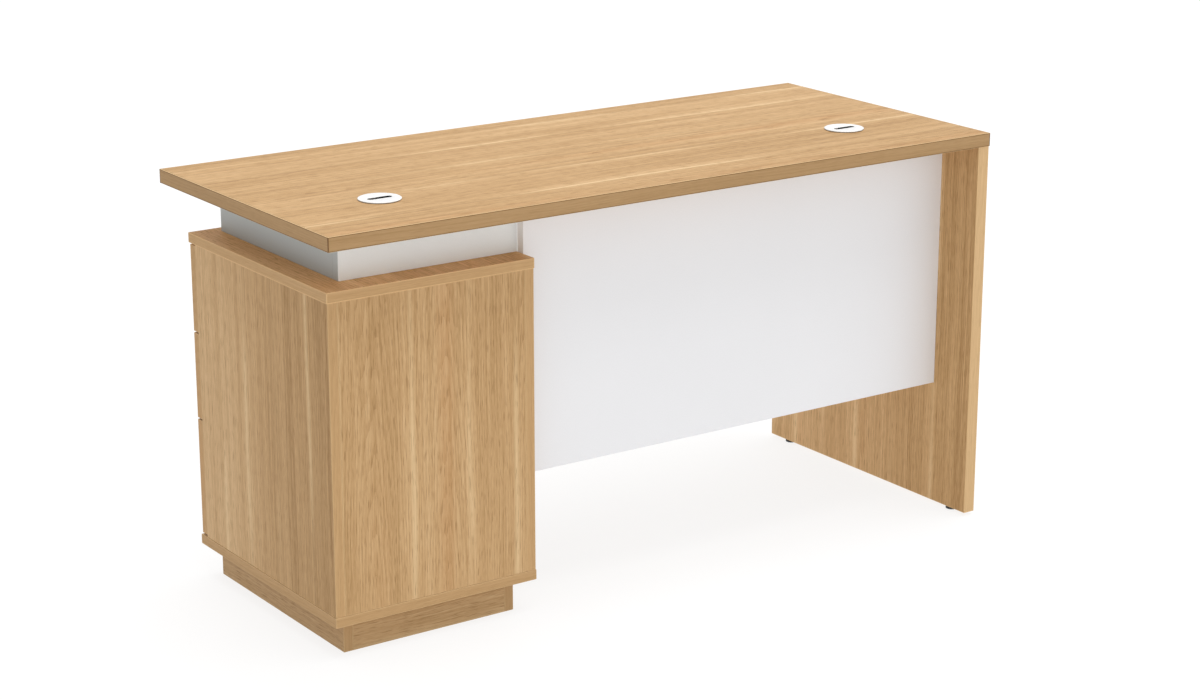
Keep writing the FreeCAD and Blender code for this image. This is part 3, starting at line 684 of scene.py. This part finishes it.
def drawer_handle(level):
    """A flat bow between an outer and an inner arc."""
    node = f"{level}_drawer_handle"
    low, high, centre = box_mm(node)
    size = high - low
    rings = []
    for station in range(HANDLE_STATIONS + 1):
        share = 2 * station / HANDLE_STATIONS - 1
        outer = bow(size.x / 2, size.y, share)
        inner = bow(size.x / 2 - HANDLE_FOOT, size.y - HANDLE_THICKNESS, share)
        out = outer - inner
        middle = Vector((centre.x, low.y, centre.z)) + (outer + inner) / 2
        section = outline(out.length, size.z, HANDLE_CORNER, 5)
        out.normalize()
        rings.append([(middle + out * reach + Vector((0.0, 0.0, rise))) * MM for reach, rise in section])
    shaped(f"{level}_bow_handle", [(rings, False)], "satin_aluminium", f"{level}_drawer", node)


# The lock's rim as inset and depth under its face, its mouth and its keyway as widening and depth
LOCK_BARREL, LOCK_BORE, LOCK_FLANGE = 8.0, 5.6, 2.5
LOCK_RIM = ((0.1, LOCK_FLANGE), (0.0, 2.3), (0.0, 0.8), (0.3, 0.25), (1.0, 0.0))
LOCK_MOUTH = ((0.8, 0.0), (0.3, 0.2), (0.0, 0.7))
PLUG_ROUND, PLUG_CHAMFER = 0.3, 0.5
KEYWAY_LENGTH, KEYWAY_WIDTH, KEYWAY_CORNER = 7.0, 1.6, 0.5
KEYWAY_RIM = ((0.6, 0.0), (0.0, 0.3), (0.0, 12.0))


def lock_barrel():
    low, high, centre = box_mm("lock_housing")
    radius = centre.x - low.x
    profile = [(LOCK_BARREL, low.y), (LOCK_BARREL, high.y - LOCK_FLANGE)]
    profile += [(radius - inset, high.y - deep) for inset, deep in LOCK_RIM]
    profile += [(LOCK_BORE + widen, high.y - deep) for widen, deep in LOCK_MOUTH]
    profile.append((LOCK_BORE, low.y))
    shells = [(turned(profile, Y, centre), True)]
    shaped("lock_barrel", shells, "lock_chrome", "upper_drawer", "lock_housing")


def lock_key_plug():
    low, high, centre = box_mm("lock_plug")
    radius = centre.x - low.x
    profile = [
        (radius - PLUG_ROUND, low.y), (radius, low.y + PLUG_ROUND),
        (radius, high.y - PLUG_CHAMFER), (radius - PLUG_CHAMFER, high.y),
    ]
    rings = turned(profile, Y, centre)
    for widen, deep in KEYWAY_RIM:
        keyway = outline(KEYWAY_LENGTH + widen, KEYWAY_WIDTH + widen, KEYWAY_CORNER, 16)
        rings.append(ring(keyway, Y, centre, high.y - deep))
    shaped("lock_key_plug", [(rings, False)], "lock_chrome", "drawer_lock", "lock_plug")


# A glide's foot and stud as radius and height
GLIDE_FOOT = ((10.2, 0.0), (10.8, 0.3), (11.0, 0.9), (11.0, 3.9), (10.7, 4.6), (9.9, 5.0))
GLIDE_STUD = ((4.7, 5.0), (4.1, 5.3), (4.0, 6.0), (4.0, 26.2))
GLIDE_STUD_TIP = 3.3
GLIDE_LOBES, GLIDE_LOBE_DEPTH = 12, 0.45


def glide(end):
    node = f"{end}_glide"
    low, high, centre = box_mm(node)
    rings = []
    for radius, rise in GLIDE_FOOT:
        rings.append(ring(lobed(radius, GLIDE_LOBE_DEPTH, GLIDE_LOBES), Z, centre, low.z + rise))
    rings += turned([*GLIDE_STUD, (GLIDE_STUD_TIP, high.z)], Z, centre)
    shaped(f"{end}_levelling_foot", [(rings, False)], "dark_plastic", node, node)


# A roller's tread as inset and place along its width, and the hollows in its sides
ROLLER_WIDTH, ROLLER_BORE = 6.2, 2.6
ROLLER_TREAD = ((0.6, 0.0), (0.1, 0.4), (0.0, 1.1), (0.0, 5.1), (0.1, 5.8), (0.6, ROLLER_WIDTH))
HOLLOW_RADIUS, HOLLOW_WAVE, HOLLOW_LOBES, HOLLOW_DEPTH = 6.9, 1.6, 5, 1.0


def rollers(node):
    low, high, centre = box_mm(node)
    radius = centre.y - low.y
    hollow = lobed(HOLLOW_RADIUS, HOLLOW_WAVE, HOLLOW_LOBES)
    shells = []
    for start in (low.x, high.x - ROLLER_WIDTH):
        inner, outer = start + HOLLOW_DEPTH, start + ROLLER_WIDTH - HOLLOW_DEPTH
        rings = turned([(radius - inset, start + at) for inset, at in ROLLER_TREAD], X, centre)
        rings += [ring(hollow, X, centre, at) for at in (start + ROLLER_WIDTH, outer)]
        rings += turned([(ROLLER_BORE, outer), (ROLLER_BORE, inner)], X, centre)
        rings += [ring(hollow, X, centre, at) for at in (inner, start)]
        shells.append((rings, True))
    shaped(node.replace("rollers", "wheels"), shells, "nylon", node, node)


for side in SIDES:
    grommet_cap(side)
grommet_liners()
for level in LEVELS:
    drawer_handle(level)
    rollers(f"{level}_cabinet_rollers")
    rollers(f"{level}_drawer_rollers")
lock_barrel()
lock_key_plug()
for end in ENDS:
    glide(end)


# Screws, cover caps and buffers, one mesh of each for a body

SCREW_SIDES, SCREW_CROWN, SCREW_BAR, SCREW_SEED = 20, 0.66, 0.28, 7
CAP_SIDES, CAP_EDGE, CAP_STEP, CAP_CROWN, CAP_SEED = 32, 0.95, 0.80, 0.70, 3


class Fitting(Tree):
    """A Geometry Nodes tree that sets one small fitting on every point of a mesh."""

    def __init__(self, name, sizes):
        self.group = bpy.data.node_groups.new(name, "GeometryNodeTree")
        super().__init__(self.group)
        self.socket("Points", "NodeSocketGeometry")
        for size, value in sizes.items():
            self.socket(size, "NodeSocketFloat").default_value = value * MM
        self.socket("Finish", "NodeSocketMaterial")
        self.socket("Fitted", "NodeSocketGeometry", "OUTPUT")
        self.entry = self.tree.nodes.new("NodeGroupInput")

    def socket(self, name, kind, way="INPUT"):
        return self.group.interface.new_socket(name, in_out=way, socket_type=kind)

    def given(self, name):
        return Wire(self, self.entry.outputs[name])

    def vector(self, *parts):
        return self.node("ShaderNodeCombineXYZ", None, dict(enumerate(parts)))

    def cone(self, wide, narrow, depth, sides):
        sockets = {"Vertices": sides, "Radius Top": narrow, "Radius Bottom": wide, "Depth": depth}
        return self.node("GeometryNodeMeshCone", None, sockets)

    def boolean(self, operation, meshes):
        """A union or difference by the solver that leaves closed meshes."""
        settings = {"operation": operation, "solver": "MANIFOLD"}
        return self.node("GeometryNodeMeshBoolean", settings, meshes)

    def set_on_points(self, shape, seed):
        """Ends the tree: a copy of the shape on each point, along its facing and with a random twist."""
        vector_kind, number_kind = {"data_type": "FLOAT_VECTOR"}, {"data_type": "FLOAT"}
        facing = self.node("GeometryNodeInputNamedAttribute", vector_kind, {"Name": "facing"})
        aimed = self.node("FunctionNodeAlignRotationToVector", {"axis": "Z"}, {"Vector": facing})
        twist = self.node("FunctionNodeRandomValue", number_kind, {3: math.pi, "Seed": seed}, 1)
        spin = self.node("FunctionNodeAxisAngleToRotation", None, {"Angle": twist})
        turns = {"Rotation": aimed, "Rotate By": spin}
        way = self.node("FunctionNodeRotateRotation", {"rotation_space": "LOCAL"}, turns)
        sockets = {"Points": self.given("Points"), "Instance": shape, "Rotation": way}
        placed = self.node("GeometryNodeInstanceOnPoints", None, sockets)
        real = self.node("GeometryNodeRealizeInstances", None, {"Geometry": placed})
        coat = {"Geometry": real, "Material": self.given("Finish")}
        self.node("NodeGroupOutput", None, {"Fitted": self.node("GeometryNodeSetMaterial", None, coat)})
        return self.group


def cross_screw():
    """A pan-headed screw with a cross recess."""
    tree = Fitting("cross_screw", {"Radius": 3.5, "Height": 2.0, "Recess": 0.7})
    radius, height, recess = [tree.given(name) for name in ("Radius", "Height", "Recess")]
    head = tree.cone(radius, radius * SCREW_CROWN, height, SCREW_SIDES)
    bars = []
    for length, width in ((1.0, SCREW_BAR), (SCREW_BAR, 1.0)):
        size = tree.vector(radius * length, radius * width, recess * 2.0)
        bar = tree.node("GeometryNodeMeshCube", None, {"Size": size})
        raised = {"Geometry": bar, "Translation": tree.vector(0.0, 0.0, height)}
        bars.append(tree.node("GeometryNodeTransform", None, raised))
    cross = tree.boolean("UNION", {"Mesh 2": bars})
    driven = tree.boolean("DIFFERENCE", {"Mesh 1": head, "Mesh 2": cross})
    return tree.set_on_points(driven, SCREW_SEED)


def stepped_cap():
    """A round cap with a low rim and a raised middle."""
    tree = Fitting("stepped_cap", {"Radius": 8.5, "Height": 0.9, "Rim": 0.5})
    radius, height, rim = [tree.given(name) for name in ("Radius", "Height", "Rim")]
    lower = tree.cone(radius, radius * CAP_EDGE, rim, CAP_SIDES)
    upper = tree.cone(radius * CAP_STEP, radius * CAP_CROWN, height, CAP_SIDES)
    both = tree.boolean("UNION", {"Mesh 2": [lower, upper]})
    return tree.set_on_points(both, CAP_SEED)


def fitted(name, group, spots, slot, body, **sizes):
    """One plain mesh of a fitting at all its spots, given in millimetres with the way each faces."""
    mesh = bpy.data.meshes.new(name + "_spots")
    mesh.from_pydata([Vector(spot) * MM for spot, _ in spots], [], [])
    ways = mesh.attributes.new("facing", "FLOAT_VECTOR", "POINT")
    ways.data.foreach_set("vector", [part for _, way in spots for part in way])
    holder = added(name + "_spots", mesh)
    modifier = holder.modifiers.new("fitting", "NODES")
    modifier.node_group = group
    given = {size: value * MM for size, value in sizes.items()}
    given["Finish"] = finishes[slot]
    for socket in group.interface.items_tree:
        if socket.in_out == "INPUT" and socket.name in given:
            modifier[socket.identifier] = given[socket.name]
    dressed = holder.evaluated_get(bpy.context.evaluated_depsgraph_get())
    plain = bpy.data.meshes.new_from_object(dressed)
    plain.name = name
    holder.modifiers.remove(modifier)
    bpy.data.objects.remove(holder)
    piece = added(name, plain)
    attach(piece, body)


def between(first, last, count=3):
    return [first + (last - first) * step / (count - 1) for step in range(count)]


LEFT, RIGHT, BACK, FORWARD, DOWN = (-1, 0, 0), (1, 0, 0), (0, -1, 0), (0, 1, 0), (0, 0, -1)
COVER_CAP_INSET = 34.0
PANEL_CAP_BOTTOM, PANEL_CAP_TOP, RISER_CAP_END = 55.0, 60.0, 60.0
END_PANEL_CAPS = (-130.0, 60.0, 245.0)
RUNNER_SCREW = {"Radius": 3.2, "Height": 0.7, "Recess": 0.4}
RUNNER_SCREW_BACK, RUNNER_SCREW_FRONT, RUNNER_SCREW_RISE = 40.0, 60.0, 12.5
RUNNER_SHEET = 1.2
DRAWER_SCREW = {"Radius": 3.5, "Height": 1.6}
HANDLE_SCREW_AWAY, RAIL_SCREW_END, RAIL_SCREW_INSET = 68.0, 45.0, 6.0
DRAWER_CAP = {"Radius": 7.5}
DRAWER_CAP_BACK, DRAWER_CAP_BOTTOM, DRAWER_CAP_TOP = 24.0, 38.0, 28.0
BUFFER = {"Radius": 4.0, "Height": 1.7, "Rim": 0.9}
BUFFER_SIDE, BUFFER_END = 9.0, 14.0

screw = cross_screw()
cap = stepped_cap()


def white_panel_cover_caps():
    low, high, _ = box_mm("modesty_panel")
    spots = [
        ((x, high.y, z), FORWARD)
        for x in (low.x + COVER_CAP_INSET, high.x - COVER_CAP_INSET)
        for z in between(low.z + PANEL_CAP_BOTTOM, high.z - PANEL_CAP_TOP)
    ]
    for board, way in (("riser_left_board", RIGHT), ("riser_right_board", LEFT)):
        low, high, _ = box_mm(board)
        inner = high.x if way == RIGHT else low.x
        for y in (low.y + RISER_CAP_END, high.y - RISER_CAP_END):
            spots.append(((inner, y, high.z - COVER_CAP_INSET), way))
    fitted("white_panel_cover_caps", cap, spots, "white_plastic", "desk_frame")


def end_panel_cover_caps():
    low, high, _ = box_mm("end_panel")
    spots = [((low.x, y, high.z - COVER_CAP_INSET), LEFT) for y in END_PANEL_CAPS]
    fitted("end_panel_cover_caps", cap, spots, "nylon", "desk_frame")


def cabinet_runner_screws():
    spots = []
    for level in LEVELS:
        low, high, _ = box_mm(f"{level}_cabinet_runners")
        rise = low.z + RUNNER_SCREW_RISE
        for y in between(low.y + RUNNER_SCREW_BACK, high.y - RUNNER_SCREW_FRONT):
            spots.append(((low.x + RUNNER_SHEET, y, rise), RIGHT))
            spots.append(((high.x - RUNNER_SHEET, y, rise), LEFT))
    fitted("cabinet_runner_screws", screw, spots, "zinc_steel", "desk_frame", **RUNNER_SCREW)


def drawer_screws(level):
    """Screws through the front into the handle, and up through the runners into the sides."""
    front, _, _ = box_mm(f"{level}_drawer_front")
    _, _, grip = box_mm(f"{level}_drawer_handle")
    rail_low, rail_high, _ = box_mm(f"{level}_drawer_runners")
    left, _, _ = box_mm(f"{level}_drawer_left_side")
    _, right, _ = box_mm(f"{level}_drawer_right_side")
    aways = (-HANDLE_SCREW_AWAY, HANDLE_SCREW_AWAY)
    spots = [((grip.x + away, front.y, grip.z), BACK) for away in aways]
    for y in between(rail_low.y + RAIL_SCREW_END, rail_high.y - RAIL_SCREW_END):
        for x in (left.x + RAIL_SCREW_INSET, right.x - RAIL_SCREW_INSET):
            spots.append(((x, y, rail_low.z), DOWN))
    fitted(f"{level}_drawer_screws", screw, spots, "zinc_steel", f"{level}_drawer", **DRAWER_SCREW)


def drawer_cover_caps(level):
    """Caps over the fittings that hold the front, on the inner faces of the sides."""
    front, _, _ = box_mm(f"{level}_drawer_front")
    low, high, _ = box_mm(f"{level}_drawer_left_side")
    right, _, _ = box_mm(f"{level}_drawer_right_side")
    spots = []
    for z in (low.z + DRAWER_CAP_BOTTOM, high.z - DRAWER_CAP_TOP):
        for x, way in ((high.x, RIGHT), (right.x, LEFT)):
            spots.append(((x, front.y - DRAWER_CAP_BACK, z), way))
    fitted(f"{level}_drawer_cover_caps", cap, spots, "white_plastic", f"{level}_drawer", **DRAWER_CAP)


def drawer_buffers(level):
    low, high, _ = box_mm(f"{level}_drawer_front")
    spots = [
        ((x, low.y, z), BACK)
        for x in (low.x + BUFFER_SIDE, high.x - BUFFER_SIDE)
        for z in (low.z + BUFFER_END, high.z - BUFFER_END)
    ]
    fitted(f"{level}_drawer_buffers", cap, spots, "nylon", f"{level}_drawer", **BUFFER)


white_panel_cover_caps()
end_panel_cover_caps()
cabinet_runner_screws()
for level in LEVELS:
    drawer_screws(level)
    drawer_cover_caps(level)
    drawer_buffers(level)


# Floor, light and camera, in metres and degrees

FLOOR_HALF, FLOOR_DROP, FLOOR_CELLS = 40.0, 0.0006, 8
FLOOR_TONES, FLOOR_GLOW, FLOOR_ROUGHNESS, FLOOR_SPREAD = (0.15, 0.17), 0.82, 0.8, 0.1
FLOOR_REPEATS, FLOOR_RANGE, FLOOR_BUMP = (0.7, 0.7, 0.7), (0.3, 0.7), (0.02, 0.001)
SKY_MEAN, SKY_SLOPE = 0.66, 0.19
LAMPS = (
    ("overhead", 1.9, 50.0, (-0.10, 0.06, -0.99)),
    ("front_fill", 0.36, 40.0, (0.10, 0.99, -0.10)),
)
CAMERA_PLACE = (-2.6707, -3.8932, 1.7738)
CAMERA_TURN, CAMERA_TILT = 34.725, 16.503
LENS_MM, SENSOR_MM = 80.31, 36.0


def pale_floor():
    """A floor that glows a little, so that shadows on it stay faint."""
    grid = bmesh.new()
    bmesh.ops.create_grid(grid, x_segments=FLOOR_CELLS, y_segments=FLOOR_CELLS, size=FLOOR_HALF)
    mesh = bpy.data.meshes.new("floor")
    grid.to_mesh(mesh)
    grid.free()
    finish = Finish("pale_floor")
    cloud = finish.noise(finish.place(), FLOOR_REPEATS, 2.0)
    tones = [(tone, tone, tone, 1.0) for tone in FLOOR_TONES]
    colour = finish.ramp(cloud, list(zip(FLOOR_RANGE, tones)))
    roughness = FLOOR_ROUGHNESS + cloud * FLOOR_SPREAD
    glow = {"Emission_Color": WHITE, "Emission_Strength": FLOOR_GLOW}
    mesh.materials.append(finish.shaded(colour, roughness, cloud, *FLOOR_BUMP, **glow))
    floor = added("floor", mesh)
    floor.location.z = -FLOOR_DROP


def aimed(holder, direction):
    holder.rotation_mode = "QUATERNION"
    holder.rotation_quaternion = Vector(direction).to_track_quat("-Z", "Y")


def soft_light():
    """Two wide lamps and a sky that is brighter to the right, and plain white where the camera sees it."""
    world = bpy.data.worlds.new("studio")
    world.use_nodes = True
    sky = Tree(world.node_tree)
    way = sky.node("ShaderNodeTexCoord", output="Generated")
    dot = {"operation": "DOT_PRODUCT"}
    rightward = sky.node("ShaderNodeVectorMath", dot, {0: way, 1: (1.0, 0.0, 0.0)}, "Value")
    shown = sky.node("ShaderNodeLightPath", output="Is Camera Ray")
    strength = (SKY_MEAN + rightward * SKY_SLOPE) * (1.0 - shown) + shown
    glow = sky.node("ShaderNodeBackground", None, {"Color": WHITE, "Strength": strength})
    sky.node("ShaderNodeOutputWorld", None, {"Surface": glow})
    bpy.context.scene.world = world
    for name, energy, spread, travel in LAMPS:
        lamp = bpy.data.lights.new(name, "SUN")
        lamp.energy = energy
        lamp.angle = math.radians(spread)
        aimed(added(name, lamp), travel)


def photo_camera():
    """The photograph's angle, with the lens tilted down and not shifted."""
    turn, tilt = math.radians(CAMERA_TURN), math.radians(CAMERA_TILT)
    lens = bpy.data.cameras.new("camera")
    lens.lens = LENS_MM
    lens.sensor_width = SENSOR_MM
    camera = added("camera", lens)
    camera.location = CAMERA_PLACE
    aimed(camera, (math.sin(turn) * math.cos(tilt), math.cos(turn) * math.cos(tilt), -math.sin(tilt)))
    bpy.context.scene.camera = camera


pale_floor()
soft_light()
photo_camera()
bpy.context.scene.view_settings.view_transform = "Standard"
